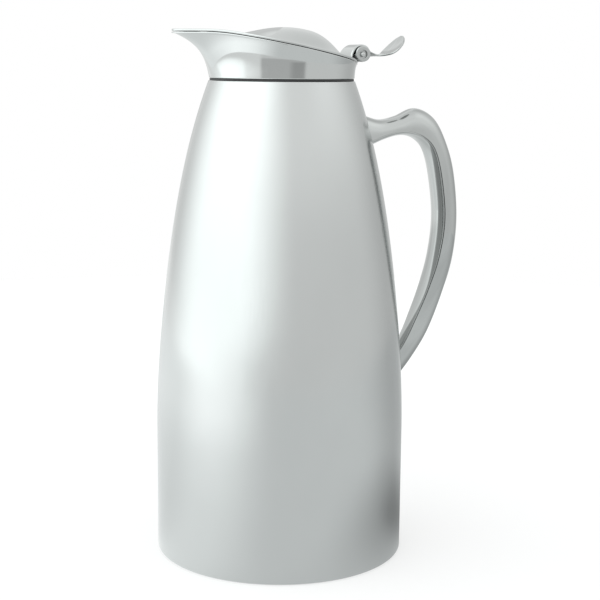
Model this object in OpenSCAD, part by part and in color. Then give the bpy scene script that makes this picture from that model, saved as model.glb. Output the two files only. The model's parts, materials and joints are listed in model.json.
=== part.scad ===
// Double-wall insulated beverage server with a spout collar, a hinged lid that a thumb lever lifts,
// and a loop handle. The handle points along +X and the spout along -X. The origin is the centre of
// the base, on the surface that the server stands on, and +Z is up.

/* [Body] */
// Radius of the straight lower part of the body
body_r = 70; // [69:0.25:71]
// Height of the body, up to the gasket under the collar
body_h = 265.8; // [265.4:0.1:266.2]
// Height at which the straight part ends and the taper begins
straight_h = 70; // [66:0.5:72]
// Thickness of the outer shell's sheet
shell_t = 0.8; // [0.6:0.05:1]
// Thickness of the inner flask's sheet
flask_t = 0.6; // [0.5:0.05:0.8]
// Distance from the outer shell's outside to the flask's outside
wall_gap = 9; // [8:0.5:10]
// Radius inside the flask's neck
neck_r = 30.6; // [30:0.1:31]

/* [Collar] */
// Radius of the collar at the gasket
collar_r = 40.05; // [39.8:0.05:40.4]
// Distance of the spout's tip from the body's axis
spout_reach = 62; // [58:0.5:64]
// Half-angle over which the rim narrows to the spout, in degrees
spout_angle = 15.5; // [14:0.5:18]
// Thickness of the collar's wall
collar_t = 0.9; // [0.8:0.05:1]
// Thickness of the gasket between the body and the collar
gasket_t = 1.2; // [1:0.1:1.3]

/* [Lid] */
// Thickness of the lid's sheet
lid_t = 0.9; // [0.8:0.05:1]
// Height of the lid's edge over its resting gap
lid_edge = 1.3; // [1.1:0.1:1.5]
// Height of the dome over the lid's flange
dome_h = 11.3; // [9.5:0.1:11.5]
// Half-width of the dome
dome_half_w = 32; // [31:0.5:33]
// Radius of the pan under the lid
pan_r = 34.8; // [34:0.2:35]

/* [Hinge] */
// Distance of the hinge pin from the body's axis
pin_x = 44; // [43.9:0.1:44.3]
// Height of the hinge pin
pin_z = 280.4; // [280.2:0.1:280.6]
// Radius of the hinge pin
pin_r = 1.25; // [1.2:0.05:1.3]
// Radius of the black nylon sleeve on which the lid turns
barrel_r = 4.1; // [3.9:0.05:4.2]
// Half-length of the sleeve
barrel_half = 8; // [7.8:0.1:8]
// Radius of the two hinge lugs
lug_r = 4; // [3.8:0.05:4.05]
// Thickness of each lug
lug_t = 2.1; // [1.8:0.1:2.2]

/* [Handle] */
// Thickness of the handle's sheet
handle_t = 1; // [0.8:0.1:1.1]
// Gap between the handle's shell and its inner strip
strip_gap = 0.15; // [0.1:0.05:0.2]

/* [Hidden] */
$fn = 96;

polished = [0.80, 0.83, 0.84];
satin = [0.70, 0.73, 0.74];
black = [0.08, 0.08, 0.08];

// Gap kept between the lid's pieces and the server's pieces
clear_gap = 0.3;
// Coefficients of the taper, in millimetres per power of 100 mm of height
taper = [10.95, 5.2, 1.82];
base_corner = 2;
base_ring_r = 62;
top_corner = 1.2;
neck_out_r = neck_r + flask_t;
ring_out_r = neck_out_r + 2.2;
collar_z = body_h + gasket_t;
collar_floor_t = 0.8;
collar_hole_r = ring_out_r + 0.4;
lip_z = body_h + 5.6;

// Cubic through p1 and p2, with p0 and p3 setting the slopes
function cubic(p0, p1, p2, p3, t) =
    0.5 * (2 * p1 + (p2 - p0) * t + (2 * p0 - 5 * p1 + 4 * p2 - p3) * t * t
    + (3 * p1 - p0 - 3 * p2 + p3) * t * t * t);

// Smooth curve through the points, with n steps between two of them
function smooth(p, n) = [
    for (k = [0 : len(p) - 2], i = [0 : n - 1])
        cubic(p[max(k - 1, 0)], p[k], p[k + 1], p[min(k + 2, len(p) - 1)], i / n),
    p[len(p) - 1]];

function arc(cx, cy, r, a0, a1, n) = [
    for (i = [0 : n]) let (a = a0 + (a1 - a0) * i / n) [cx + r * cos(a), cy + r * sin(a)]];

function reversed(p) = [for (i = [len(p) - 1 : -1 : 0]) p[i]];

// Two triangles for each cell between ring a and ring b, which have n points each
function band(a, b, n) = [
    for (i = [0 : n - 1]) let (j = (i + 1) % n)
        each [[a * n + i, b * n + j, a * n + j], [a * n + i, b * n + i, b * n + j]]];

function mean(p) = [for (k = [0 : 2]) [for (q = p) q[k]] * [for (q = p) 1] / len(p)];

// Solid through a stack of rings, closed at both ends by a fan about each end ring's middle
module stack(rings) {
    n = len(rings[0]);
    m = len(rings);
    points = [for (r = rings) each r, mean(rings[0]), mean(rings[m - 1])];
    faces = [
        for (k = [0 : m - 2]) each band(k, k + 1, n),
        for (i = [0 : n - 1]) [m * n, i, (i + 1) % n],
        for (i = [0 : n - 1]) [m * n + 1, (m - 1) * n + (i + 1) % n, (m - 1) * n + i]];
    polyhedron(points, faces, convexity = 6);
}

// Solid through the rings of a sheet. The first half of each ring is one side of the sheet, and the
// second half is the other side, run backwards; both ends are closed from side to side.
module sheet(rings) {
    n = len(rings[0]);
    m = len(rings);
    last = (m - 1) * n;
    faces = [
        for (k = [0 : m - 2]) each band(k, k + 1, n),
        for (i = [0 : n / 2 - 2]) let (j = n - 1 - i)
            each [[i, i + 1, j], [i + 1, j - 1, j], [last + j, last + i + 1, last + i],
                [last + j, last + j - 1, last + i + 1]]];
    polyhedron([for (r = rings) each r], faces, convexity = 6);
}

// Solid whose rings close on themselves, like a tube with a wall
module loop(rings) {
    n = len(rings[0]);
    m = len(rings);
    points = [for (r = rings) each r];
    faces = [for (k = [0 : m - 1]) each band(k, (k + 1) % m, n)];
    polyhedron(points, faces, convexity = 10);
}

// ---- shapes that several parts follow ----

function body_rad(z) = let (t = max(0, z - straight_h) / 100)
    body_r - taper[0] * pow(t, 2) + taper[1] * pow(t, 3) - taper[2] * pow(t, 4);

// Height of the collar's rim at distance x along the body: level over the spout, then falling
// evenly to the back, with a soft bend between the two
rim_top = 291.4;
rim_slope = 0.198;
rim_bend_x = -41;
rim_bend = 3;
function rim_z(x) = rim_top - rim_slope * rim_bend * ln(1 + exp((x - rim_bend_x) / rim_bend));

// Radius of the collar's rim, at angle a from the spout
function rim_rad(a) = let (q = sin(a / 2) / sin(spout_angle / 2))
    41 + (spout_reach - 41) / (1 + q * q) + 1.2 * pow(sin(a), 2);

// Radius of the collar's outside, at the share s of the height up to the rim
function flare(a, s) = collar_r + (rim_rad(a) - collar_r) * (0.38 * s + 0.62 * pow(s, 4));

function around(a, r, z) = [-r * cos(a), r * sin(a), z];

// Angle of each column about the axis, closer together near the spout
columns = 96;
function column(i) = 360 * i / columns - 28 * sin(360 * i / columns);

function rim_height(a) = rim_z(-rim_rad(a) * cos(a));

// Height of the dome over the lid's flange
dome_x = 12.8;
dome_front = 41.5;
dome_rear = 20.3;
function dome(x, y) = let (
    u = (x - dome_x) / (x < dome_x ? dome_front : dome_rear), v = y / dome_half_w,
    d = min(1, norm([u, v])), back = x < dome_x ? 0 : pow(u, 2) / max(0.0001, u * u + v * v))
    dome_h * pow(1 - pow(d, 2 + 0.5 * back), 1.4 - 0.3 * back);

function lid_top(x, y) = rim_z(x) + clear_gap + lid_edge + dome(x, y);

// Radius of the lid's edge; it steps in at the back to leave room for the hinge barrel
function lid_rad(a) = rim_rad(a) - 0.2 - 1.2 * exp(-pow((180 - abs(180 - a) - 180) / 14, 4));

// ---- body ----

module outer_shell() {
    z_top = body_h - top_corner;
    r_top = body_rad(z_top) - top_corner;
    outside = concat(
        [[base_ring_r, 0]],
        arc(body_r - base_corner, base_corner, base_corner, -90, 0, 6),
        [for (z = [straight_h : 9 : z_top - 4]) [body_rad(z), z]],
        arc(r_top, z_top, top_corner, 4, 90, 5),
        [[ring_out_r + 0.1, body_h]]);
    inside = concat(
        [[base_ring_r, shell_t]],
        arc(body_r - base_corner, base_corner, base_corner - shell_t, -90, 0, 6),
        [for (z = [straight_h : 9 : z_top - 4]) [body_rad(z) - shell_t, z]],
        arc(r_top, z_top, top_corner - shell_t, 4, 90, 5),
        [[ring_out_r + 0.1, body_h - shell_t]]);
    color(satin) rotate_extrude() polygon(concat(outside, reversed(inside)));
}

module base_cap() {
    // Flange that lies on the shell's inturned foot, and a recessed floor
    z0 = shell_t + 0.02;
    color(satin) rotate_extrude() polygon([
        [0, 3.4], [52, 2.6], [59.4, 2.6], [60.6, z0], [67.4, z0], [67.4, z0 + 0.7],
        [61, z0 + 0.7], [59.8, 3.3], [52, 3.3], [0, 4.1]]);
}

module vacuum_bottom() {
    // Dished disc with an upturned edge that closes the vacuum space
    r = body_r - shell_t - 0.05;
    color(satin) rotate_extrude() polygon([
        [1.5, 7.5], [40, 8.5], [66, 11], [r, 7], [r, 16], [r - 0.7, 16], [r - 0.7, 9.4],
        [66.2, 11.8], [40, 9.3], [1.5, 8.3]]);
}

module vacuum_seal() {
    // Plug brazed over the port through which the air was drawn out
    color(polished) translate([0, 0, 5.6]) cylinder(h = 1.85, r = 4.5);
    color(polished) translate([0, 0, 7.3]) cylinder(h = 1.2, r = 1.45);
}

module getter() {
    color(satin) translate([22, 0, 9]) difference() {
        cylinder(h = 3.4, r = 6);
        translate([0, 0, 1]) cylinder(h = 3, r = 3);
    }
}

module inner_flask() {
    z_foot = 38;
    r_foot = body_r - wall_gap;
    shoulder_z = 249;
    function out_r(z) = body_rad(z) - wall_gap;
    outside = concat(
        [[0, 16.5], [20, 16.8]],
        arc(r_foot - 22, z_foot, 22, -80, 0, 8),
        [for (z = [straight_h : 10 : 240]) [out_r(z), z]],
        smooth([[out_r(243), 243], [out_r(shoulder_z) - 0.8, shoulder_z], [neck_out_r + 0.6, 256],
            [neck_out_r, 260]], 3),
        [[neck_out_r, lip_z - flask_t], [ring_out_r - 0.2, lip_z - flask_t], [ring_out_r - 0.2, lip_z]]);
    inside = concat(
        [[0, 16.5 + flask_t], [20, 16.8 + flask_t]],
        arc(r_foot - 22, z_foot, 22 - flask_t, -80, 0, 8),
        [for (z = [straight_h : 10 : 240]) [out_r(z) - flask_t, z]],
        smooth([[out_r(243) - flask_t, 243], [out_r(shoulder_z) - 0.8 - flask_t, shoulder_z - 0.4],
            [neck_r + 0.5, 255.6], [neck_r, 260]], 3),
        [[neck_r, lip_z]]);
    color(polished) rotate_extrude() polygon(concat(outside, reversed(inside)));
}

module neck_ring() {
    // Ring that joins the flask's neck to the outer shell and carries the lock ring
    color(satin) rotate_extrude() polygon([
        [neck_out_r + 0.03, 261], [ring_out_r, 261], [ring_out_r, lip_z - flask_t - 0.03],
        [neck_out_r + 0.03, lip_z - flask_t - 0.03]]);
}

// ---- collar ----

module collar_gasket() {
    r = collar_r - 0.6;
    color(black) rotate_extrude() polygon([
        [ring_out_r + 0.3, body_h + 0.02], [r, body_h + 0.02], [r, collar_z - 0.02],
        [ring_out_r + 0.3, collar_z - 0.02]]);
}

module spout_collar() {
    steps = 9;
    corner = 1;
    floor_z = collar_z + collar_floor_t;
    function wall_z(a, s) = collar_z + corner + (rim_height(a) - collar_z - corner) * s;
    rings = [for (i = [0 : columns - 1]) let (a = column(i)) concat(
        [around(a, collar_hole_r, collar_z)],
        [for (t = [0 : 30 : 60]) around(a, collar_r - corner + corner * sin(t), collar_z + corner * (1 - cos(t)))],
        [for (k = [0 : steps]) let (s = k / steps) around(a, flare(a, s), wall_z(a, s) - (k == steps ? 0.4 : 0))],
        [around(a, flare(a, 1) - 0.35, rim_height(a))],
        [around(a, flare(a, 1) - 1, rim_height(a) - 0.1)],
        [for (k = [steps - 1 : -1 : 1]) let (s = k / steps) around(a, flare(a, s) - collar_t, wall_z(a, s) + 0.1)],
        [around(a, collar_r - collar_t, floor_z + 0.6)],
        [around(a, collar_r - collar_t - 0.6, floor_z)],
        [around(a, collar_hole_r, floor_z)])];
    color(polished) loop(rings);
}

module lock_ring_seal() {
    z0 = collar_z + collar_floor_t + 0.02;
    color([0.85, 0.85, 0.82]) rotate_extrude() polygon([
        [ring_out_r + 0.2, z0], [37, z0], [37, z0 + 0.6], [ring_out_r + 0.2, z0 + 0.6]]);
}

module lock_ring() {
    // Threaded ring that clamps the collar's floor to the neck, with four spanner notches
    z0 = collar_z + collar_floor_t + 0.65;
    h = lip_z - z0;
    color(satin) difference() {
        translate([0, 0, z0]) cylinder(h = h, r = 37.4);
        translate([0, 0, z0 - 1]) cylinder(h = h + 2, r = ring_out_r + 0.03);
        for (a = [45 : 90 : 315]) rotate(a) translate([37.4, 0, z0 + h]) cube([3, 5, 1.6], center = true);
    }
}

// ---- handle ----

// Stations along the handle, from the top: outer x and z, seam x and z, half-width and belly of the strip
handle_stations = [
    [46.9, 247.2, 51.1, 232.6, 9.4, 3.2],
    [57.4, 244.2, 58.6, 235.7, 8.8, 3.2],
    [68.2, 246.2, 67.2, 237.8, 9.0, 2.9],
    [79.6, 250.5, 75, 237.4, 9.6, 2.4],
    [90.8, 245.0, 83, 234.3, 9.6, 2.5],
    [98.6, 231.6, 89.5, 227.2, 9.4, 2.7],
    [104.1, 213.8, 93.9, 212.6, 9.3, 3.0],
    [106.8, 188, 96.8, 188.4, 9.2, 3.0],
    [104.9, 164, 94.4, 166.5, 8.5, 2.4],
    [98.9, 142.4, 88.8, 147.4, 7.2, 1.4],
    [90.3, 120.5, 81.4, 129.0, 5.9, 1.3],
    [80.2, 104.5, 74.9, 115.2, 5.1, 1.9],
    [69.7, 91.5, 68.8, 106.4, 4.8, 1.8]];
handle_steps = 4;
handle_rows = smooth(handle_stations, handle_steps);

// A point of the handle's section at row r: y across, and d from the seam towards the outside.
// Near both ends the point moves onto the round body.
function handle_point(k, y, d) = let (
    r = handle_rows[k], s = [r[2], r[3]], o = [r[0], r[1]], p = s + (o - s) * d / norm(o - s),
    last = len(handle_rows) - 1, near = max(0, 1 - min(k, last - k) / 7), rb = body_rad(p[1]),
    sag = rb - sqrt(rb * rb - y * y), x = min(k, last - k) == 0 ? rb + 0.05 : p[0])
    [x - sag * near * near, y, p[1]];

function handle_depth(k) = let (r = handle_rows[k]) norm([r[0] - r[2], r[1] - r[3]]);
function power_sin(a) = sign(sin(a)) * pow(abs(sin(a)), 0.85);
function power_cos(a) = pow(max(0, cos(a)), 0.85);

module handle_shell() {
    sweep = [-90 : 15 : 90];
    rings = [for (k = [0 : len(handle_rows) - 1]) let (w = handle_rows[k][4], d = handle_depth(k)) concat(
        [for (a = sweep) handle_point(k, w * power_sin(a), d * power_cos(a))],
        [for (a = sweep) let (b = -a)
            handle_point(k, (w - handle_t) * power_sin(b), (d - handle_t) * power_cos(b))])];
    color(polished) sheet(rings);
}

module handle_strip() {
    across = [-1 : 0.2 : 1];
    function belly(b, v) = 0.3 - (b + 0.3) * pow(max(0, 1 - v * v), 0.7);
    rings = [for (k = [0 : len(handle_rows) - 1]) let (
        w = handle_rows[k][4] - handle_t - strip_gap, b = handle_rows[k][5]) concat(
        [for (v = across) handle_point(k, w * v, belly(b, v))],
        [for (v = across) handle_point(k, -w * v, belly(b, -v) + handle_t)])];
    color(polished) mirror([0, 1, 0]) sheet(rings);
}

// Saddle on the body with a stub that reaches into the hollow end of the handle
module handle_bracket(z0, z1, half_w, stub) {
    spread = asin(half_w / body_rad(z0));
    color(satin) {
        rotate(-spread) rotate_extrude(angle = 2 * spread) polygon([
            [body_rad(z0) + 0.06, z0], [body_rad(z0) + 1.3, z0], [body_rad(z1) + 1.3, z1],
            [body_rad(z1) + 0.06, z1]]);
        translate([body_rad(z0) + 0.6, -half_w * 0.6, (z0 + z1) / 2 - 1.5]) cube([stub, half_w * 1.2, 3]);
    }
}

module handle_upper_bracket() handle_bracket(235, 242, 6, 6);
module handle_lower_bracket() handle_bracket(98, 103.6, 2.4, 2.2);

// ---- hinge, fixed side ----

module along_y(y0, y1, r) translate([pin_x, y0, pin_z]) rotate([-90, 0, 0]) cylinder(h = y1 - y0, r = r);

lug_in = barrel_half + 0.3;
lug_out = lug_in + lug_t;
foot_z = 272.2;
foot_top = 274.9;
foot_t = 0.4;

// Ear about the pin, with a low tab that leans along the collar's wall down to the foot
module lug_outline() {
    low = [40 - pin_x, foot_z + 1 - pin_z];
    high = [40.75 - pin_x, foot_top - pin_z];
    tab_t = 0.7;
    circle(r = lug_r);
    polygon([
        low, high, [high[0], -4.4], [-3.1, -3.9], [-2.9, -2.7], [0, -2], [-0.6, -3.9], [-1.6, -4],
        [high[0] + tab_t + 0.3, -4.7], [high[0] + tab_t, -5.2], [low[0] + tab_t, low[1]]]);
}

module hinge_bracket() {
    spread = asin((lug_in + lug_t / 2) / rim_rad(180));
    heights = [foot_z : (foot_top - foot_z) / 4 : foot_top];
    function wall(z) = flare(180, (z - collar_z) / (rim_height(180) - collar_z)) + 0.1;
    color(polished) difference() {
        union() {
            rotate(-spread) rotate_extrude(angle = 2 * spread) polygon(concat(
                [for (z = heights) [wall(z), z]],
                [[wall(foot_top) + foot_t, foot_top], [wall(foot_z) + foot_t, foot_z]]));
            for (side = [-1, 1]) translate([pin_x, side * (lug_in + lug_t / 2), pin_z]) rotate([90, 0, 0])
                linear_extrude(lug_t, center = true) lug_outline();
        }
        along_y(-20, 20, pin_r + 0.02);
        for (side = [-1, 1])
            translate([0, side * (lug_out + 0.2), 0]) along_y(-0.8, 0.8, pin_r + 0.85);
    }
}

module hinge_pin() {
    color(satin) {
        along_y(-lug_out - 0.1, lug_out + 0.1, pin_r);
        for (side = [-1, 1]) translate([0, side * (lug_out - 0.1), 0]) along_y(-0.4, 0.4, pin_r + 0.35);
    }
}

module hinge_washers() {
    color(black) for (side = [-1, 1]) difference() {
        translate([0, side * (barrel_half + 0.15), 0]) along_y(-0.12, 0.12, 3.6);
        translate([0, side * (barrel_half + 0.15), 0]) along_y(-1, 1, pin_r + 0.05);
    }
}

// ---- lid ----

module lid_cover() {
    shares = [0.06, 0.18, 0.3, 0.42, 0.54, 0.66, 0.76, 0.84, 0.9, 0.95];
    function at(a, f, drop) = let (p = around(a, lid_rad(a) * f, 0)) [p[0], p[1], lid_top(p[0], p[1]) - drop];
    function edge(a, f, rise) = let (p = around(a, lid_rad(a) * f, 0))
        [p[0], p[1], rim_z(p[0]) + clear_gap + rise];
    function rows(a) = concat(
        [for (f = shares) at(a, f, 0)],
        [at(a, 0.985, 0), edge(a, 1, lid_edge - 0.35), edge(a, 1, 0.3), edge(a, 0.99, 0), edge(a, 0.965, 0)],
        [for (f = reversed(shares)) at(a, f, lid_t)]);
    table = [for (i = [0 : columns - 1]) rows(column(i))];
    color(polished) stack([for (k = [0 : len(table[0]) - 1]) [for (i = [columns - 1 : -1 : 0]) table[i][k]]]);
}

pan_z = lip_z + clear_gap + 1.5;

module lid_pan() {
    // Cup under the dome, with its upper edge against the sloping lid
    function top(a, r) = let (p = around(a, r, 0)) [p[0], p[1], lid_top(p[0], p[1]) - lid_t - 0.05];
    wall = 0.6;
    rings = [
        for (q = [[1, pan_z], [pan_r - 1, pan_z], [pan_r, pan_z + 1]])
            [for (a = [0 : 6 : 354]) around(a, q[0], q[1])],
        [for (a = [0 : 6 : 354]) top(a, pan_r)],
        [for (a = [0 : 6 : 354]) top(a, pan_r - wall)],
        for (q = [[pan_r - wall, pan_z + 1.2], [pan_r - 1.2, pan_z + wall], [1, pan_z + wall]])
            [for (a = [0 : 6 : 354]) around(a, q[0], q[1])]];
    color(satin) stack(rings);
}

module lid_insulation() {
    r = pan_r - 0.8;
    under = 0.4;
    function top(a, f) = let (p = around(a, r * f, 0)) [p[0], p[1], lid_top(p[0], p[1]) - lid_t - under];
    rings = [
        [for (a = [0 : 6 : 354]) around(a, 1, pan_z + 0.65)],
        [for (a = [0 : 6 : 354]) around(a, r - 0.6, pan_z + 0.65)],
        [for (a = [0 : 6 : 354]) around(a, r, pan_z + 1.3)],
        for (f = [1, 0.88, 0.72, 0.54, 0.34, 0.1]) [for (a = [0 : 6 : 354]) top(a, f)]];
    color([0.93, 0.92, 0.85]) stack(rings);
}

module lid_seal() {
    z0 = lip_z + clear_gap;
    color([0.88, 0.88, 0.86]) rotate_extrude() polygon([
        [neck_r + 0.2, z0 + 0.3], [neck_r + 0.6, z0], [34, z0], [34.4, z0 + 0.3],
        [34.4, pan_z - 0.03], [neck_r + 0.2, pan_z - 0.03]]);
}

// ---- hinge, lid side ----

// Section of a strip at p whose thickness t lies along direction up; its edges rise by dish
function strip_ring(p, up, half_w, t, dish) = concat(
    [for (v = [-1 : 0.25 : 1]) let (q = p + up * (t / 2 + dish * v * v)) [q[0], half_w * v, q[1]]],
    [for (v = [1 : -0.25 : -1]) let (q = p + up * (dish * v * v - t / 2)) [q[0], half_w * v, q[1]]]);

// Strip along rows of x, z, half-width, thickness and dish
module strip(rows) {
    rings = [for (k = [0 : len(rows) - 1]) let (
        a = rows[max(k - 1, 0)], b = rows[min(k + 1, len(rows) - 1)], r = rows[k],
        dir = [b[0] - a[0], b[1] - a[1]] / norm([b[0] - a[0], b[1] - a[1]]))
        strip_ring([r[0], r[1]], [-dir[1], dir[0]], r[2], r[3], r[4])];
    sheet(reversed(rings));
}

// Stations of the strap: x, z and half-width; it bends over the barrel and ends on it
strap_t = 1.3;
strap_stations = [
    [37.0, 277.2, 10.2], [37.3, 279.2, 10], [38.1, 281.3, 9.5], [39.6, 283.4, 8.9], [41.6, 284.75, 8.3],
    [44.0, 285.2, 8], [46.5, 284.5, 8], [48.2, 282.7, 7.6]];

module hinge_strap() color(polished)
    strip([for (r = smooth(strap_stations, 4)) [r[0], r[1], r[2], strap_t, 0]]);

module hinge_barrel() {
    color(black) difference() {
        along_y(-barrel_half, barrel_half, barrel_r);
        along_y(-20, 20, pin_r + 0.05);
    }
}

// Stations of the thumb lever: x, z, half-width, thickness and dish
lever_stations = [
    [48.2, 281.0, 7.2, 4.4, 0],
    [51.8, 280.5, 3.8, 2.5, 0],
    [55.2, 280.05, 2.4, 1.2, 0],
    [58.4, 279.9, 4.4, 1.0, 0.2],
    [61.9, 280.6, 8.6, 1.0, 0.5],
    [65.3, 282.7, 10.6, 1.0, 0.8],
    [68.6, 286.2, 9.4, 1.0, 0.7],
    [70.5, 289.2, 5.6, 1.0, 0.4],
    [71.2, 290.8, 1.6, 0.9, 0]];

module thumb_lever() color(polished) strip(smooth(lever_stations, 4));

outer_shell();
base_cap();
vacuum_bottom();
vacuum_seal();
getter();
inner_flask();
neck_ring();
collar_gasket();
spout_collar();
lock_ring_seal();
lock_ring();
handle_shell();
handle_strip();
handle_upper_bracket();
handle_lower_bracket();
hinge_bracket();
hinge_pin();
hinge_washers();
lid_cover();
lid_insulation();
lid_pan();
lid_seal();
hinge_strap();
hinge_barrel();
thumb_lever();
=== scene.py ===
import json
from math import asin, atan2, cos, exp, hypot, log, pi, radians, sin, sqrt, tan

import bmesh
import bpy
from mathutils import Matrix, Vector


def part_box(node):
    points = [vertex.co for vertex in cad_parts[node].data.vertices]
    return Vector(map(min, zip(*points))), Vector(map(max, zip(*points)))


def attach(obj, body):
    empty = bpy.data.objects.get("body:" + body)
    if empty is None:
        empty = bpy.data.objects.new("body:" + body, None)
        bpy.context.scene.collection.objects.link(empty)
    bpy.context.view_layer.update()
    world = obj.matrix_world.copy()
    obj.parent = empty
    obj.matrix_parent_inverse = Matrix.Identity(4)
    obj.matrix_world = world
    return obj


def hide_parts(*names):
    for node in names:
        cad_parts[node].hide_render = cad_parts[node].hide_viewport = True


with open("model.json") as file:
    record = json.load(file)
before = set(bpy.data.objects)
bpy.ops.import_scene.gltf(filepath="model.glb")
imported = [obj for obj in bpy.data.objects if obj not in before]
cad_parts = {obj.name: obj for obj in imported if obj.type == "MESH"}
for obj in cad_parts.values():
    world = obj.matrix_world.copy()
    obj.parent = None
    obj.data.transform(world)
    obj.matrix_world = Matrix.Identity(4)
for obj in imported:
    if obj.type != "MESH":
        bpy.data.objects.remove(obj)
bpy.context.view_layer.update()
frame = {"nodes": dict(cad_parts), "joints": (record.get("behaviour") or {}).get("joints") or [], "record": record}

MM = 0.001


# ---- places that the CAD frame gives, in millimetres ----

def low(node, axis=2):
    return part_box(node)[0][axis] / MM


def high(node, axis=2):
    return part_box(node)[1][axis] / MM


hinge = frame["joints"][0]["pos_m"]
PIN_X, PIN_Z = hinge[0] / MM, hinge[2] / MM
BODY_TOP = high("outer_shell")
COLLAR_LOW = low("spout_collar")
LIP_TOP = high("inner_flask")
PAN_LOW = low("lid_pan")
SEAL_LOW = low("lid_seal")
BARREL_HALF = high("hinge_barrel", 1)
BARREL_R = high("hinge_barrel", 0) - PIN_X
LUG_IN = BARREL_HALF + 0.3
LUG_OUT = high("hinge_bracket", 1)


# ---- curves ----

def spline(rows, steps):
    """Rows of numbers along a smooth curve through the given rows, with steps rows between two of them."""
    out = []
    for k in range(len(rows) - 1):
        before, here = rows[max(k - 1, 0)], rows[k]
        there, after = rows[k + 1], rows[min(k + 2, len(rows) - 1)]
        for i in range(steps):
            t = i / steps
            out.append([
                0.5 * (2 * b + (c - a) * t + (2 * a - 5 * b + 4 * c - d) * t * t
                       + (3 * b - a - 3 * c + d) * t ** 3)
                for a, b, c, d in zip(before, here, there, after)])
    return out + [list(rows[-1])]


def rounded(corners, steps=5):
    """Closed outline through corners (x, y, radius), each corner turned on its radius."""
    out = []
    for k, (x, y, radius) in enumerate(corners):
        here = Vector((x, y))
        if not radius:
            out.append((x, y))
            continue
        to_last = (Vector(corners[k - 1][:2]) - here).normalized()
        to_next = (Vector(corners[(k + 1) % len(corners)][:2]) - here).normalized()
        half = to_last.angle(to_next) / 2
        centre = here + (to_last + to_next).normalized() * radius / sin(half)
        first = here + to_last * radius / tan(half) - centre
        last = here + to_next * radius / tan(half) - centre
        start = atan2(first.y, first.x)
        turn = (atan2(last.y, last.x) - start + pi) % (2 * pi) - pi
        for i in range(steps + 1):
            a = start + turn * i / steps
            out.append((centre.x + radius * cos(a), centre.y + radius * sin(a)))
    return out


def arc(cx, cy, radius, start, end, steps):
    """Points on a circle about (cx, cy), from one angle to another in degrees."""
    angles = [radians(start + (end - start) * i / steps) for i in range(steps + 1)]
    return [(cx + radius * cos(a), cy + radius * sin(a)) for a in angles]


def spread(start, end, steps):
    """Evenly spaced numbers from start to end, both included."""
    return [start + (end - start) * i / steps for i in range(steps + 1)]


# ---- meshes ----

def upright(r, a, h):
    """Point at radius r, angle a and height h about the server's axis."""
    return (r * cos(a), r * sin(a), h)


def on_pin(r, a, h):
    """Point at radius r and angle a about the hinge pin, h along it."""
    return (PIN_X + r * cos(a), h, PIN_Z + r * sin(a))


def lathe(outline, steps=192, place=upright):
    """Solid of revolution of a closed outline of (radius, height)."""
    points, rings = [], []
    for r, h in outline:
        if r < 1e-6:
            rings.append([len(points)] * steps)
            points.append(place(0, 0, h))
        else:
            rings.append(list(range(len(points), len(points) + steps)))
            points.extend(place(r, 2 * pi * i / steps, h) for i in range(steps))
    return points, skin(rings, True)


def skin(rings, wrap):
    """Faces between neighbouring rings of point numbers; wrap joins the last ring to the first."""
    faces = []
    for k in range(len(rings) if wrap else len(rings) - 1):
        a, b = rings[k], rings[(k + 1) % len(rings)]
        for i in range(len(a)):
            j = (i + 1) % len(a)
            face = list(dict.fromkeys((a[i], a[j], b[j], b[i])))
            if len(face) > 2:
                faces.append(face)
    return faces


def loft(rings, wrap=False):
    """Solid through rings of points, closed at the ends by fans unless it wraps."""
    n = len(rings[0])
    points = [tuple(p) for ring in rings for p in ring]
    numbers = [list(range(k * n, k * n + n)) for k in range(len(rings))]
    faces = skin(numbers, wrap)
    if not wrap:
        for ring in (numbers[0], numbers[-1]):
            middle = len(points)
            points.append(tuple(sum(points[i][c] for i in ring) / n for c in range(3)))
            faces += [(middle, ring[i], ring[(i + 1) % n]) for i in range(n)]
    return points, faces


def joined(*solids):
    """One mesh of several solids, which stay separate in it."""
    points, faces = [], []
    for more_points, more_faces in solids:
        faces += [[len(points) + i for i in face] for face in more_faces]
        points += more_points
    return points, faces


def piece(name, solid, body, node, material, sharp=38):
    """Object of that solid that rides on a body and stands for a CAD node."""
    points, faces = solid
    mesh = bpy.data.meshes.new(name)
    mesh.from_pydata([[MM * c for c in p] for p in points], [], faces)
    bm = bmesh.new()
    bm.from_mesh(mesh)
    bmesh.ops.recalc_face_normals(bm, faces=bm.faces)
    bm.to_mesh(mesh)
    bm.free()
    mesh.shade_smooth()
    mesh.set_sharp_from_angle(angle=radians(sharp))
    mesh.materials.append(material)
    obj = bpy.data.objects.new(name, mesh)
    bpy.context.scene.collection.objects.link(obj)
    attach(obj, body)
    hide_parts(node)
    return obj


# ---- materials ----

def node(tree, kind, inputs=None, **settings):
    """New shader node; an input is a number, a colour or another node's output."""
    made = tree.nodes.new(kind)
    for key, value in settings.items():
        setattr(made, key, value)
    for key, value in (inputs or {}).items():
        if isinstance(value, bpy.types.NodeSocket):
            tree.links.new(value, made.inputs[key])
        else:
            made.inputs[key].default_value = value
    return made


def noise(tree, stretch, detail=3.0):
    """Noise whose repeats per metre along x, y and z are stretch."""
    place = node(tree, "ShaderNodeTexCoord").outputs["Object"]
    mapped = node(tree, "ShaderNodeMapping", {"Vector": place, "Scale": stretch})
    return node(tree, "ShaderNodeTexNoise", {
        "Vector": mapped.outputs["Vector"], "Scale": 1.0, "Detail": detail, "Roughness": 0.55}).outputs["Fac"]


def ranged(tree, value, least, most):
    """The middle of a noise's range, spread over least to most."""
    return node(tree, "ShaderNodeMapRange", {
        "Value": value, "From Min": 0.3, "From Max": 0.7, "To Min": least, "To Max": most}).outputs["Result"]


def bump(tree, height, distance, below=None):
    """Bump of that depth in metres, on top of the bump below."""
    inputs = {"Height": height, "Distance": distance, "Strength": 1.0}
    if below is not None:
        inputs["Normal"] = below
    return node(tree, "ShaderNodeBump", inputs).outputs["Normal"]


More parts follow.
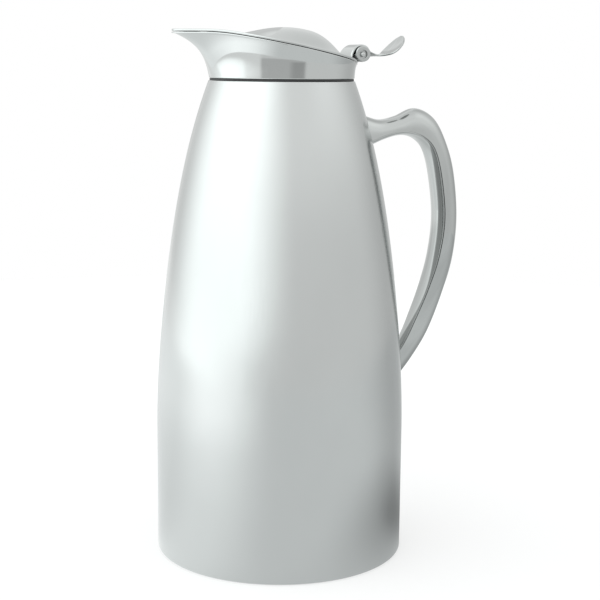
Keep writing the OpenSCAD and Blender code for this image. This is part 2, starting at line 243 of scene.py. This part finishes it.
def finish_of(slot, colour, shade, roughness, layers, metallic=0.0, clouds=(22, 22, 14), name=None,
              **constants):
    """Material with a colour that varies by shade over clouds, a roughness range and bump layers of
    (stretch, depth). It is named after its slot unless it has a name of its own."""
    material = bpy.data.materials.new(name or slot)
    material["slot"] = slot
    material.use_nodes = True
    tree = material.node_tree
    shader = tree.nodes["Principled BSDF"]
    shader.inputs["Metallic"].default_value = metallic
    for key, value in constants.items():
        shader.inputs[key.replace("_", " ")].default_value = value
    cloud = noise(tree, clouds, 5)
    dark = [c * (1 - shade) for c in colour] + [1]
    light = [min(1, c * (1 + shade)) for c in colour] + [1]
    mixed = node(tree, "ShaderNodeMix", {0: ranged(tree, cloud, 0, 1), 6: dark, 7: light}, data_type="RGBA")
    tree.links.new(mixed.outputs[2], shader.inputs["Base Color"])
    normal = None
    for stretch, depth in layers:
        grain = noise(tree, stretch)
        normal = bump(tree, grain, depth, normal)
    tree.links.new(ranged(tree, grain, *roughness), shader.inputs["Roughness"])
    tree.links.new(normal, shader.inputs["Normal"])
    return material


SATIN = finish_of(
    "satin_steel", (0.565, 0.578, 0.574), 0.02, (0.14, 0.2),
    [((14, 14, 8), 3.2e-4), ((45, 45, 9), 3e-5), ((900, 900, 14), 5e-7)], metallic=1.0)
POLISHED = finish_of(
    "polished_steel", (0.56, 0.575, 0.57), 0.015, (0.035, 0.075),
    [((40, 40, 40), 4e-5), ((700, 700, 300), 2e-7)], metallic=1.0)
# Darker copy of the polished steel for the handle, ears and thumb leaf, with colour streaks stretched along z:
# painted shade and painted reflections.
POLISH_PAINTED_DARK_STREAKS = finish_of(
    "polished_steel", (0.475, 0.488, 0.483), 0.11, (0.035, 0.075),
    [((40, 40, 40), 4e-5), ((14, 500, 14), 3e-7)], metallic=1.0, clouds=(14, 420, 14), name="polish_painted_dark_streaks")
INNER = finish_of(
    "inner_steel", (0.52, 0.535, 0.54), 0.03, (0.26, 0.38),
    [((60, 60, 60), 1e-5), ((60, 60, 2500), 1.5e-6)], metallic=1.0)
RUBBER = finish_of(
    "black_rubber", (0.018, 0.018, 0.019), 0.25, (0.45, 0.62),
    [((900, 900, 900), 1.2e-5)])
SILICONE = finish_of(
    "silicone", (0.74, 0.75, 0.73), 0.04, (0.38, 0.5),
    [((500, 500, 500), 8e-6)], Subsurface_Weight=0.2)
# Black nylon for the sleeve and washers; its black also stands in as painted shade for the deep gap under the
# hinge strap.
NYLON_PAINTED_GAP_SHADE = finish_of("nylon", (0.02, 0.02, 0.021), 0.2, (0.4, 0.5), [((900, 900, 900), 5e-6)])
FOAM = finish_of("foam", (0.86, 0.83, 0.72), 0.08, (0.8, 0.95), [((1400, 1400, 1400), 8e-5)])
MATERIALS = {m["slot"]: m for m in (SATIN, POLISHED, INNER, RUBBER, SILICONE, NYLON_PAINTED_GAP_SHADE, FOAM)}


# ---- shapes that several pieces follow ----

BODY_R = 70.0
STRAIGHT_H = 70.0
TAPER = (10.95, 5.2, 1.82)
WALL_GAP = 9
NECK_R = 30.6
COLLAR_R = 40.05
COLLAR_HOLE_R = 33.8
SPOUT_REACH = 62.0
SPOUT_ANGLE = radians(15.5)
RIM_TOP = 291.4
RIM_SLOPE = 0.198
RIM_BEND_X = -41
RIM_BEND = 3
BACK_RIM_R = 41
SIDE_SWELL = 1.2
DOME_X = 12.8
DOME_FRONT = 41.5
DOME_REAR = 20.3
DOME_HALF_W = 32
DOME_H = 11.3
SHEET = 0.9
LID_GAP = 0.3
LID_EDGE = 1.3
PIN_R = 1.25
COLUMNS = 256


def body_radius(z):
    """Radius of the body's outside: straight, then tapering over the height above STRAIGHT_H."""
    t = max(0.0, z - STRAIGHT_H) / 100
    return BODY_R - TAPER[0] * t ** 2 + TAPER[1] * t ** 3 - TAPER[2] * t ** 4


def rim_z(x):
    """Height of the collar's rim: level over the spout, then falling evenly to the back."""
    return RIM_TOP - RIM_SLOPE * RIM_BEND * log(1 + exp((x - RIM_BEND_X) / RIM_BEND))


def rim_radius(a):
    """Radius of the rim at angle a from the spout."""
    q = sin(a / 2) / sin(SPOUT_ANGLE / 2)
    return BACK_RIM_R + (SPOUT_REACH - BACK_RIM_R) / (1 + q * q) + SIDE_SWELL * sin(a) ** 2


def flare(a, s):
    """Radius of the collar's outside at share s of the height up to the rim."""
    return COLLAR_R + (rim_radius(a) - COLLAR_R) * (0.38 * s + 0.62 * s ** 4)


def around(a, r, z):
    """Point at angle a from the spout."""
    return (-r * cos(a), r * sin(a), z)


def rim_height(a):
    return rim_z(-rim_radius(a) * cos(a))


def column_angles():
    """Angles of the columns round the collar and lid, closer together near the spout."""
    turns = [2 * pi * i / COLUMNS for i in range(COLUMNS)]
    return [t - radians(28) * sin(t) for t in turns]


def dome(x, y):
    """Height of the dome over the lid's flange; it is steeper at the back."""
    u = (x - DOME_X) / (DOME_FRONT if x < DOME_X else DOME_REAR)
    v = y / DOME_HALF_W
    d = min(1.0, hypot(u, v))
    back = 0.0 if x < DOME_X else u * u / max(1e-4, u * u + v * v)
    return DOME_H * (1 - d ** (2 + 0.5 * back)) ** (1.4 - 0.3 * back)


def lid_top(x, y):
    return rim_z(x) + LID_GAP + LID_EDGE + dome(x, y)


def lid_radius(a):
    """Radius of the lid's edge; it steps in at the back to leave room for the hinge."""
    off = (a - pi) / radians(14)
    return rim_radius(a) - 0.2 - 1.2 * exp(-off ** 4)


# ---- body ----

def outer_shell():
    sheet, foot_corner = 0.8, 2
    ring_r, mouth_r = 62.0, 33.6
    top_z, corner = BODY_TOP - 0.5, 0.5
    top_r = body_radius(top_z) - corner
    heights = spread(STRAIGHT_H, top_z - 1.5, 90)
    outside = [(ring_r, 0.35), (ring_r + 0.35, 0)]
    outside += arc(BODY_R - foot_corner, foot_corner, foot_corner, -90, 0, 10)
    outside += [(BODY_R, z) for z in spread(8, 62, 9)]
    outside += [(body_radius(z), z) for z in heights]
    outside += arc(top_r, top_z, corner, 12, 90, 8) + [(mouth_r, BODY_TOP)]
    inside = [(ring_r, sheet)] + arc(BODY_R - foot_corner, foot_corner, foot_corner - sheet, -90, 0, 6)
    inside += [(body_radius(z) - sheet, z) for z in heights[::5]]
    inside += arc(top_r, top_z, corner - sheet, 12, 90, 4) + [(mouth_r, BODY_TOP - sheet)]
    piece("body_outer_shell", lathe(outside + inside[::-1], 256), "jug", "outer_shell", SATIN)


def inner_flask():
    sheet, foot_corner = 0.6, 22
    foot_r = BODY_R - WALL_GAP

    def side(inset):
        rows = [(0, 16.5 + inset), (20, 16.8 + inset)]
        rows += arc(foot_r - foot_corner, 38, foot_corner - inset, -80, 0, 12)
        rows += [(body_radius(z) - WALL_GAP - inset, z) for z in spread(70, 240, 40)]
        rows += [tuple(r) for r in spline([
            (body_radius(243) - WALL_GAP - inset, 243),
            (body_radius(249) - (WALL_GAP + 0.8) - inset, 249 - inset * 0.6),
            (31.8 - inset * 1.1, 256 - inset * 0.6), (31.2 - inset, 260)], 6)]
        return rows

    lip = [(31.2, LIP_TOP - sheet), (33.2, LIP_TOP - sheet), (33.2, LIP_TOP - 0.2), (33.0, LIP_TOP)]
    mouth = [(NECK_R + 0.3, LIP_TOP), (NECK_R, LIP_TOP - 0.3)]
    outline = side(0) + lip + mouth + side(sheet)[::-1]
    piece("inner_flask_wall", lathe(outline, 192), "jug", "inner_flask", INNER)


def gasket():
    low_z, high_z = low("collar_gasket"), high("collar_gasket")
    inner, outer = COLLAR_HOLE_R + 0.1, high("collar_gasket", 0) + 0.3
    outline = rounded([(inner, low_z, 0), (outer, low_z, 0.3), (outer, high_z, 0.3), (inner, high_z, 0)])
    piece("collar_gasket_ring", lathe(outline, 192), "jug", "collar_gasket", RUBBER)


def lock_ring_seal():
    low_z, high_z = low("lock_ring_seal"), high("lock_ring_seal")
    inner, outer = COLLAR_HOLE_R, 37
    outline = rounded([(inner, low_z, 0), (outer, low_z, 0.15), (outer, high_z, 0.15), (inner, high_z, 0)])
    piece("lock_ring_seal_ring", lathe(outline, 128), "jug", "lock_ring_seal", SILICONE)


# ---- collar ----

def spout_collar():
    """Flared wall with a turned lower corner, a flat floor and a rolled, rounded rim."""
    corner, steps = 0.6, 26
    roll, roll_inset = 0.42, 0.45
    floor_z = COLLAR_LOW + 0.8
    shares = [(k / steps) ** 0.9 for k in range(steps + 1)]
    rings = []
    for a in column_angles():
        top = rim_height(a)
        height = top - COLLAR_LOW - corner
        outer = [(flare(a, s), COLLAR_LOW + corner + height * s) for s in shares[:-1]]
        inner = [(flare(a, s) - SHEET, COLLAR_LOW + corner + height * s + 0.1) for s in shares[1:-1]]
        rim_r = flare(a, 1) - roll_inset
        rolled = [(rim_r + roll * cos(t), top - roll + roll * sin(t)) for t in spread(-0.3, pi + 0.3, 9)]
        bend = [(COLLAR_R - corner + corner * sin(t), COLLAR_LOW + corner * (1 - cos(t)))
                for t in spread(0, pi / 2 * 0.9, 6)]
        foot = [(COLLAR_R - SHEET, floor_z + 0.6), (COLLAR_R - SHEET - 0.2, floor_z + 0.2),
                (COLLAR_R - SHEET - 0.6, floor_z), (COLLAR_HOLE_R, floor_z)]
        outline = [(COLLAR_HOLE_R, COLLAR_LOW)] + bend + outer + rolled + inner[::-1] + foot
        rings.append([around(a, r, z) for r, z in outline])
    piece("spout_collar_wall", loft(rings, wrap=True), "jug", "spout_collar", POLISHED, sharp=50)


# ---- handle ----

# Stations from the top: outer x and z, seam x and z, half-width, and belly of the inner strip
HANDLE = [
    [46.9, 247.2, 51.1, 232.6, 9.4, 3.2],
    [57.4, 244.2, 58.6, 235.7, 8.8, 3.2],
    [68.2, 246.2, 67.2, 237.8, 9.0, 2.9],
    [79.6, 250.5, 75.0, 237.4, 9.6, 2.4],
    [90.8, 245.0, 83.0, 234.3, 9.6, 2.5],
    [98.6, 231.6, 89.5, 227.2, 9.4, 2.7],
    [104.1, 213.8, 93.9, 212.6, 9.3, 3.0],
    [106.8, 188.0, 96.8, 188.4, 9.2, 3.0],
    [104.9, 164.0, 94.4, 166.5, 8.5, 2.4],
    [98.9, 142.4, 88.8, 147.4, 7.2, 1.4],
    [90.3, 120.5, 81.4, 129.0, 5.9, 1.3],
    [80.2, 104.5, 74.9, 115.2, 5.1, 1.9],
    [69.7, 91.5, 68.8, 106.4, 4.8, 1.8]]
HANDLE_STEPS = 12
HANDLE_SHEET = 1.0
SEAM_GAP = 0.45


def handle_row(rows, k):
    """Function that places a point of row k: y across, and d from the seam towards the outside.

    Near both ends the rows bend to the body's curve, and the end rows rest on it.
    """
    outer_x, outer_z, seam_x, seam_z, half_width, belly = rows[k]
    seam, outer = Vector((seam_x, seam_z)), Vector((outer_x, outer_z))
    direction = (outer - seam).normalized()
    steps_in = min(k, len(rows) - 1 - k) / HANDLE_STEPS
    settle = max(0.0, 1 - steps_in / 1.75) ** 2
    snap = max(0.0, 1 - steps_in / 0.4) ** 2

    def place(y, d):
        p = seam + direction * d
        radius = body_radius(p.y)
        x = p.x + (radius + 0.05 - p.x) * snap
        return (x - (radius - sqrt(radius * radius - y * y)) * settle, y, p.y)

    return place, (outer - seam).length, half_width, belly


def power(value, exponent=0.85):
    """Power that keeps the sign; it squares the handle's section up a little."""
    return abs(value) ** exponent * (1 if value >= 0 else -1)


def handle_shell():
    """Half-round shell, open towards the body."""
    rows = spline(HANDLE, HANDLE_STEPS)
    sweep = [radians(a) for a in spread(-90, 90, 36)]
    rings = []
    for k in range(len(rows)):
        place, depth, half_width, _ = handle_row(rows, k)
        inner = half_width - HANDLE_SHEET
        inner_depth = depth - HANDLE_SHEET
        outside = [place(half_width * power(sin(a)), depth * power(max(0, cos(a)))) for a in sweep]
        inside = [place(inner * power(sin(-a)), inner_depth * power(max(0, cos(a)))) for a in sweep]
        rings.append(outside + inside)
    piece("handle_outer_shell", loft(rings), "jug", "handle_shell", POLISH_PAINTED_DARK_STREAKS, sharp=60)


def handle_strip():
    """Crowned strip that closes the shell, with an open slot along each seam and a web inside it."""
    edge_depth, lip_depth = 0.75, 0.45
    rows = spline(HANDLE, HANDLE_STEPS)
    across = [sin(t) for t in spread(-pi / 2, pi / 2, 32)]
    rings = []
    for k in range(len(rows)):
        place, _, half_width, belly = handle_row(rows, k)
        cover, web = half_width - 0.15, half_width - HANDLE_SHEET - SEAM_GAP

        def crown(v):
            return -edge_depth - (belly - edge_depth) * max(0.0, 1 - v * v) ** 0.8

        top = [place(cover * v, crown(v)) for v in across]
        near = [place(cover - 0.05, -lip_depth), place(web, -lip_depth)]
        under = [place(-web * v, max(crown(v) + HANDLE_SHEET, 0.4 * abs(v))) for v in across]
        far = [place(-web, -lip_depth), place(0.05 - cover, -lip_depth)]
        rings.append(top + near + under + far)
    piece("handle_inner_strip", loft(rings), "jug", "handle_strip", POLISH_PAINTED_DARK_STREAKS, sharp=60)


# ---- hinge ----

def hinge_bracket():
    """Two round ears with a sunk pin hole; a low tab joins each to a thin foot on the collar's back."""
    pin_hole, sunk_r, sunk_depth = PIN_R + 0.02, 2.35, 1.7
    ear_r, ear_rise = 4.3, 0.3
    tab_thick, tab_half_width = 0.6, 0.55
    tab = [[PIN_X - 1.2, PIN_Z - 3.5], [PIN_X - 2.5, PIN_Z - 3.85], [PIN_X - 3.4, PIN_Z - 4.4],
           [PIN_X - 3.65, PIN_Z - 5.3], [PIN_X - 4.2, PIN_Z - 7.0]]

    def place(r, a, h):
        x, y, z = on_pin(r, a, h)
        return (x, y, z + ear_rise * (r / ear_r) ** 2)

    solids = []
    for side in (-1, 1):
        outline = rounded([
            (pin_hole, LUG_IN, 0.05), (ear_r, LUG_IN, 0.3), (ear_r, LUG_OUT, 0.5),
            (sunk_r, LUG_OUT, 0.12), (sunk_r, LUG_OUT - sunk_depth, 0.1),
            (pin_hole, LUG_OUT - sunk_depth, 0.05)], 5)
        solids.append(lathe([(r, side * h) for r, h in outline], 96, place))
        strip = [[x, z, tab_half_width, tab_thick, 0] for x, z in spline(tab, 5)]
        solids.append(blade(strip, side * (LUG_IN + 0.6)))
    low_z, high_z = low("hinge_bracket") + 0.02, 274.9
    half = asin((LUG_IN + 1.05) / rim_radius(pi))
    slices = []
    for a in spread(pi - half, pi + half, 24):
        def wall(z):
            return flare(a, (z - COLLAR_LOW) / (rim_height(a) - COLLAR_LOW)) + 0.05

        outline = [(wall(z), z) for z in spread(low_z, high_z, 6)]
        outline += [(wall(high_z) + 0.15, high_z)]
        outline += [(wall(z) + 0.25, z) for z in spread(high_z - 0.15, low_z + 0.15, 6)]
        outline += [(wall(low_z) + 0.15, low_z)]
        slices.append([around(a, r, z) for r, z in outline])
    piece("hinge_ears", joined(*solids, loft(slices)), "jug", "hinge_bracket", POLISH_PAINTED_DARK_STREAKS)


def hinge_pin():
    """Riveted pin with a low domed head at each end."""
    head, head_h, end = 1.3, 0.55, LUG_OUT + 0.28
    outline = [(0, -end)]
    outline += [(head * sin(t), -end + head_h * (1 - cos(t))) for t in spread(0.2, pi / 2, 8)]
    outline += [(head, -LUG_OUT + 0.5), (PIN_R, -LUG_OUT + 0.55)]
    outline += [(PIN_R, LUG_OUT - 0.55), (head, LUG_OUT - 0.5)]
    outline += [(head * sin(t), end - head_h * (1 - cos(t))) for t in spread(pi / 2, 0.2, 8)]
    outline += [(0, end)]
    piece("hinge_rivet", lathe(outline, 64, on_pin), "jug", "hinge_pin", POLISHED)


def hinge_barrel():
    """Sleeve on the pin; its black is painted shade for the deep gap under the strap beside the ears."""
    bore = PIN_R + 0.05
    outline = rounded([
        (bore, -BARREL_HALF, 0.1), (BARREL_R, -BARREL_HALF, 0.35),
        (BARREL_R, BARREL_HALF, 0.35), (bore, BARREL_HALF, 0.1)])
    piece("hinge_tube", lathe(outline, 96, on_pin), "lid", "hinge_barrel", NYLON_PAINTED_GAP_SHADE)


# ---- lid ----

def lid_cover():
    """Domed sheet that ends in a flange whose edge is turned down all round."""
    angles = column_angles()
    dome_shares = [0.04 + 0.92 * (k / 44) for k in range(45)]

    def ring(share, height):
        made = []
        for a in angles:
            x, y, _ = around(a, lid_radius(a) * share, 0)
            made.append((x, y, height(x, y)))
        return made

    def edge_z(rise):
        return lambda x, y: rim_z(x) + LID_GAP + rise

    rings = [ring(s, lid_top) for s in dome_shares]
    top_turn, low_turn = spread(0, pi / 2, 6), spread(0, pi / 2, 4)
    rings += [ring(0.99 + 0.01 * sin(t), edge_z(LID_EDGE - 0.4 + 0.4 * cos(t))) for t in top_turn]
    rings += [ring(0.99 + 0.01 * cos(t), edge_z(0.25 - 0.25 * sin(t))) for t in low_turn]
    rings += [ring(0.965, edge_z(0.05))]
    rings += [ring(s, lambda x, y: lid_top(x, y) - SHEET) for s in dome_shares[::-3]]
    piece("lid_dome", loft(rings), "lid", "lid_cover", POLISHED, sharp=50)


def lid_pan():
    """Cup under the dome, with a pressed ring in its floor."""
    turns = spread(0, 2 * pi, 128)[:-1]
    pan_r, wall = high("lid_pan", 1), 0.6
    floor = [(1, 0), (12, 0), (13.2, 0.5), (20, 0.5), (21.2, 0)]
    floor += [(pan_r - 1, 0), (pan_r - 0.3, 0.3), (pan_r, 1)]

    def level(r, z):
        return [around(a, r, z) for a in turns]

    def under_lid(r):
        made = []
        for a in turns:
            x, y, _ = around(a, r, 0)
            made.append((x, y, lid_top(x, y) - SHEET - 0.05))
        return made

    rings = [level(r, PAN_LOW + h) for r, h in floor]
    rings += [under_lid(pan_r), under_lid(pan_r - wall)]
    rings += [level(max(1, r - wall * 0.8), PAN_LOW + wall + h) for r, h in floor[::-1]]
    piece("lid_cup", loft(rings), "lid", "lid_pan", INNER)


def lid_seal():
    """Silicone ring with two lips under it."""
    inner, outer = 30.8, high("lid_seal", 0)
    top, bottom = high("lid_seal"), SEAL_LOW
    outline = rounded([
        (inner, top, 0), (inner, bottom + 0.2, 0.15), (31.6, bottom, 0.3), (32.3, bottom + 0.5, 0.15),
        (33.1, bottom, 0.3), (33.9, bottom + 0.1, 0.2), (outer, bottom + 0.5, 0.2), (outer, top, 0)], 3)
    piece("lid_lip_seal", lathe(outline, 160), "lid", "lid_seal", SILICONE)


def blade(rows, middle=0.0):
    """Rounded sheet along rows of x, z, half-width, thickness and dish, at y = middle."""
    rings = []
    for k, (x, z, half_width, thick, dish) in enumerate(rows):
        a, b = rows[max(k - 1, 0)], rows[min(k + 1, len(rows) - 1)]
        along = Vector((b[0] - a[0], b[1] - a[1])).normalized()
        up = Vector((-along.y, along.x))
        flat = max(0.02, half_width - thick / 2)
        down, back_up = spread(pi / 2, -pi / 2, 8)[1:-1], spread(-pi / 2, pi / 2, 8)[1:-1]
        section = [(flat * v, thick / 2) for v in spread(-1, 1, 16)]
        section += [(flat + thick / 2 * cos(t), thick / 2 * sin(t)) for t in down]
        section += [(flat * v, -thick / 2) for v in spread(1, -1, 16)]
        section += [(-flat - thick / 2 * cos(t), thick / 2 * sin(t)) for t in back_up]
        ring = []
        for y, h in section:
            p = Vector((x, z)) + up * (h + dish * (y / half_width) ** 2)
            ring.append((p.x, middle + y, p.y))
        rings.append(ring)
    return loft(rings)


STRAP_SHEET = 1.3
# Stations from the lid over the sleeve: x, z and half-width
STRAP = [
    [37.0, 277.2, 10.2], [37.3, 279.2, 10.0], [38.1, 281.3, 9.5], [39.6, 283.4, 8.9], [41.6, 284.75, 8.3],
    [44.0, 285.2, 8.0], [46.5, 284.5, 8.0], [48.2, 282.7, 7.6]]
# Stations from the sleeve to the leaf's tip: x, z, half-width, thickness and dish
LEVER = [
    [48.2, 281.0, 7.2, 4.4, 0.0],
    [51.8, 280.5, 3.8, 2.5, 0.0],
    [55.2, 280.05, 2.4, 1.2, 0.0],
    [58.4, 279.9, 4.4, 1.0, 0.2],
    [61.9, 280.6, 8.6, 1.0, 0.5],
    [65.3, 282.7, 10.6, 1.0, 0.8],
    [68.6, 286.2, 9.4, 1.0, 0.7],
    [70.5, 289.2, 5.6, 1.0, 0.4],
    [71.2, 290.8, 1.6, 0.9, 0.0]]


def hinge_strap():
    rows = [[x, z, w, STRAP_SHEET, 0] for x, z, w in spline(STRAP, 10)]
    piece("hinge_strap_sheet", blade(rows), "lid", "hinge_strap", POLISHED, sharp=50)


def thumb_lever():
    piece("thumb_leaf", blade(spline(LEVER, 10)), "lid", "thumb_lever", POLISH_PAINTED_DARK_STREAKS, sharp=50)


# ---- the parts whose CAD shape is right ----

def dress_cad_nodes():
    """Materials for the CAD's own meshes, which show wherever no piece replaces them."""
    for part in frame["record"]["subparts"]:
        mesh = frame["nodes"][part["node"]].data
        mesh.materials.clear()
        mesh.materials.append(MATERIALS[part["material_slot"]])


# ---- room ----

CAMERA_TURN = radians(18)


def add_camera():
    """Camera just below the lid's height, looking slightly down, on the spout's side of the middle."""
    distance, height = 0.7725, 0.2780
    pitch, yaw, roll = radians(9.907), radians(0.823), radians(0.509)
    turn = Matrix.Rotation(-CAMERA_TURN, 3, "Z")
    forward = Vector((sin(yaw) * cos(pitch), cos(yaw) * cos(pitch), -sin(pitch)))
    right = forward.cross(Vector((0, 0, 1))).normalized()
    up = right.cross(forward)
    across = right * cos(roll) + up * sin(roll)
    above = up * cos(roll) - right * sin(roll)
    data = bpy.data.cameras.new("camera")
    data.lens = 83.05
    data.sensor_width = 36
    camera = bpy.data.objects.new("camera", data)
    bpy.context.scene.collection.objects.link(camera)
    axes = turn @ Matrix((across, above, -forward)).transposed()
    camera.matrix_world = Matrix.Translation(turn @ Vector((0, -distance, height))) @ axes.to_4x4()
    bpy.context.scene.camera = camera


def calc(tree, operation, *values):
    """Result of a math node."""
    return node(tree, "ShaderNodeMath", dict(enumerate(values)), operation=operation).outputs[0]


def fade(tree, value, start, end):
    """1 up to start, falling smoothly to 0 at end."""
    return node(tree, "ShaderNodeMapRange", {
        "Value": value, "From Min": float(start), "From Max": float(end), "To Min": 1.0, "To Max": 0.0},
        interpolation_type="SMOOTHSTEP").outputs["Result"]


def turned(tree, vector):
    """x, y and z of a vector, turned so that x runs to the camera's right."""
    made = node(tree, "ShaderNodeMapping", {"Vector": vector, "Rotation": (0, 0, CAMERA_TURN)})
    return node(tree, "ShaderNodeSeparateXYZ", {0: made.outputs["Vector"]}).outputs


def product(tree, *values):
    total = values[0]
    for value in values[1:]:
        total = calc(tree, "MULTIPLY", total, value)
    return total


def add_floor():
    """Round sheet of pale paper. The camera sees it nearly white, and all else sees a glow of painted light and
    shade:
    a painted pool of light on the left in front of the body, painted shade to the right behind it, and the body's
    painted shadow close to its right side."""
    radius = 1.0
    mesh = bpy.data.meshes.new("floor")
    rim = [(radius * cos(2 * pi * i / 128), radius * sin(2 * pi * i / 128), 0) for i in range(128)]
    mesh.from_pydata(rim, [], [list(range(128))])
    material = bpy.data.materials.new("floor_paper")
    material.use_nodes = True
    tree = material.node_tree
    paper = tree.nodes["Principled BSDF"]
    fibre = noise(tree, (300, 300, 300))
    mixed = node(tree, "ShaderNodeMix", {0: fibre, 6: (0.93, 0.93, 0.93, 1), 7: (0.95, 0.95, 0.95, 1)},
                 data_type="RGBA")
    tree.links.new(mixed.outputs[2], paper.inputs["Base Color"])
    paper.inputs["Roughness"].default_value = 0.9
    paper.inputs["Specular IOR Level"].default_value = 0.1
    place = node(tree, "ShaderNodeTexCoord").outputs["Object"]
    x, y, _ = turned(tree, place)

    def distance(x0, y0):
        off_x, off_y = calc(tree, "SUBTRACT", x, x0), calc(tree, "SUBTRACT", y, y0)
        squares = calc(tree, "ADD", product(tree, off_x, off_x), product(tree, off_y, off_y))
        return calc(tree, "SQRT", squares)

    # Painted pool of light on the left in front of the body, fading outwards from it.
    far = distance(0.0, 0.0)
    side_share, depth_share = calc(tree, "DIVIDE", x, far), calc(tree, "DIVIDE", y, far)
    left = fade(tree, side_share, -0.95, -0.05)
    front = calc(tree, "ADD", 0.5, product(tree, fade(tree, depth_share, -0.4, 0.3), 0.5))
    outward = calc(tree, "SUBTRACT", 0.76, product(tree, fade(tree, far, 0.15, 0.55), 0.46))
    lit = product(tree, left, front, outward)
    # Painted shade to the right behind the body, and the body's painted shadow close beside its right side.
    behind = [
        calc(tree, "SUBTRACT", 1.0, fade(tree, share, *reach))
        for share, reach in ((side_share, (0.2, 0.6)), (depth_share, (-0.3, 0.6)))]
    near_shade = product(tree, fade(tree, distance(0.125, 0.01), -0.03, 0.17), 0.46)
    shade = calc(tree, "ADD", near_shade, product(tree, *behind, 0.27))
    level = calc(tree, "SUBTRACT", calc(tree, "ADD", 0.86, lit), shade)
    # Glow of painted light and shade that everything but the camera sees.
    glow = node(tree, "ShaderNodeEmission", {"Color": (0.97, 1, 1, 1), "Strength": level})
    white = node(tree, "ShaderNodeEmission", {"Color": (1, 1, 1, 1), "Strength": 1.0})
    shown = node(tree, "ShaderNodeMixShader", {0: 0.55, 1: paper.outputs[0], 2: white.outputs[0]})
    seen = node(tree, "ShaderNodeLightPath").outputs["Is Camera Ray"]
    both = node(tree, "ShaderNodeMixShader", {0: seen, 1: glow.outputs[0], 2: shown.outputs[0]})
    tree.links.new(both.outputs[0], tree.nodes["Material Output"].inputs["Surface"])
    mesh.materials.append(material)
    floor = bpy.data.objects.new("floor", mesh)
    bpy.context.scene.collection.objects.link(floor)


# Soft panels of the room. Azimuths run from the camera's side, left negative, in degrees: middle,
# half-width and softness. The lower and upper edge are each an elevation at that middle and a slope.
# Then come the softness of both edges, and the light that the panel adds or takes away.
COOL_PANELS = [
    ((-64, 52, 30), (-8, 0.12), (59, 0), 5, 0.9),
    ((-84, 25, 5), (-12.4, 0.1), (-6.8, 0), 1.2, 0.26)]
PANELS = [
    ((-100, 67, 4), (-30, 0), (-5, 0), 2, 0.17),
    ((2, 34, 3), (-15, -0.07), (-6.8, 0), 0.6, -0.22),
    ((25, 11, 6), (-14, -0.07), (-6.8, 0), 0.8, -0.16),
    ((78, 20, 22), (30, 0), (66, 0), 18, 0.2),
    ((145, 32, 26), (-54, 0), (66, 0), 20, -0.22),
    ((-176, 10, 5), (-4, 0), (34, 0), 6, -0.28)]
ROOM_LIGHT = 0.86
CEILING_LIGHT = 0.22


def add_world():
    """Bright room with soft panels; the open background is plain white."""
    world = bpy.data.worlds.new("room")
    bpy.context.scene.world = world
    world.use_nodes = True
    tree = world.node_tree
    tree.nodes.clear()
    x, y, z = turned(tree, node(tree, "ShaderNodeTexCoord").outputs["Generated"])
    depth = calc(tree, "MULTIPLY", y, -1.0)
    azimuth = calc(tree, "MULTIPLY", calc(tree, "ARCTAN2", x, depth), 180 / pi)
    elevation = calc(tree, "MULTIPLY", calc(tree, "ARCSINE", z), 180 / pi)

    def sum_of(total, panels):
        for (middle, half, soft), low_edge, high_edge, blur, gain in panels:
            off = calc(tree, "SUBTRACT", azimuth, float(middle))
            across = fade(tree, calc(tree, "ABSOLUTE", off), half - soft, half + soft)
            edges = [calc(tree, "ADD", product(tree, off, float(slope)), float(level))
                     for level, slope in (low_edge, high_edge)]
            above, below = [calc(tree, "SUBTRACT", elevation, edge) for edge in edges]
            upward = calc(tree, "SUBTRACT", fade(tree, below, -blur, blur), fade(tree, above, -blur, blur))
            total = calc(tree, "ADD", total, product(tree, across, upward, gain))
        return total

    ceiling = calc(tree, "SUBTRACT", 1.0, fade(tree, elevation, 0, 28))
    level = calc(tree, "ADD", ROOM_LIGHT, calc(tree, "MULTIPLY", ceiling, CEILING_LIGHT))
    plain = node(tree, "ShaderNodeBackground", {
        "Color": (0.985, 1, 0.995, 1), "Strength": sum_of(level, PANELS)})
    cool = node(tree, "ShaderNodeBackground", {
        "Color": (0.93, 1, 1, 1), "Strength": sum_of(0.0, COOL_PANELS)})
    room = node(tree, "ShaderNodeAddShader", {0: plain.outputs[0], 1: cool.outputs[0]})
    white = node(tree, "ShaderNodeBackground", {"Color": (1, 1, 1, 1), "Strength": 1.0})
    seen = node(tree, "ShaderNodeLightPath").outputs["Is Camera Ray"]
    both = node(tree, "ShaderNodeMixShader", {0: seen, 1: room.outputs[0], 2: white.outputs[0]})
    node(tree, "ShaderNodeOutputWorld", {"Surface": both.outputs[0]})


dress_cad_nodes()
outer_shell()
inner_flask()
gasket()
lock_ring_seal()
spout_collar()
handle_shell()
handle_strip()
hinge_bracket()
hinge_pin()
hinge_barrel()
lid_cover()
lid_pan()
lid_seal()
hinge_strap()
thumb_lever()

add_camera()
add_floor()
add_world()
bpy.context.scene.view_settings.view_transform = "Standard"
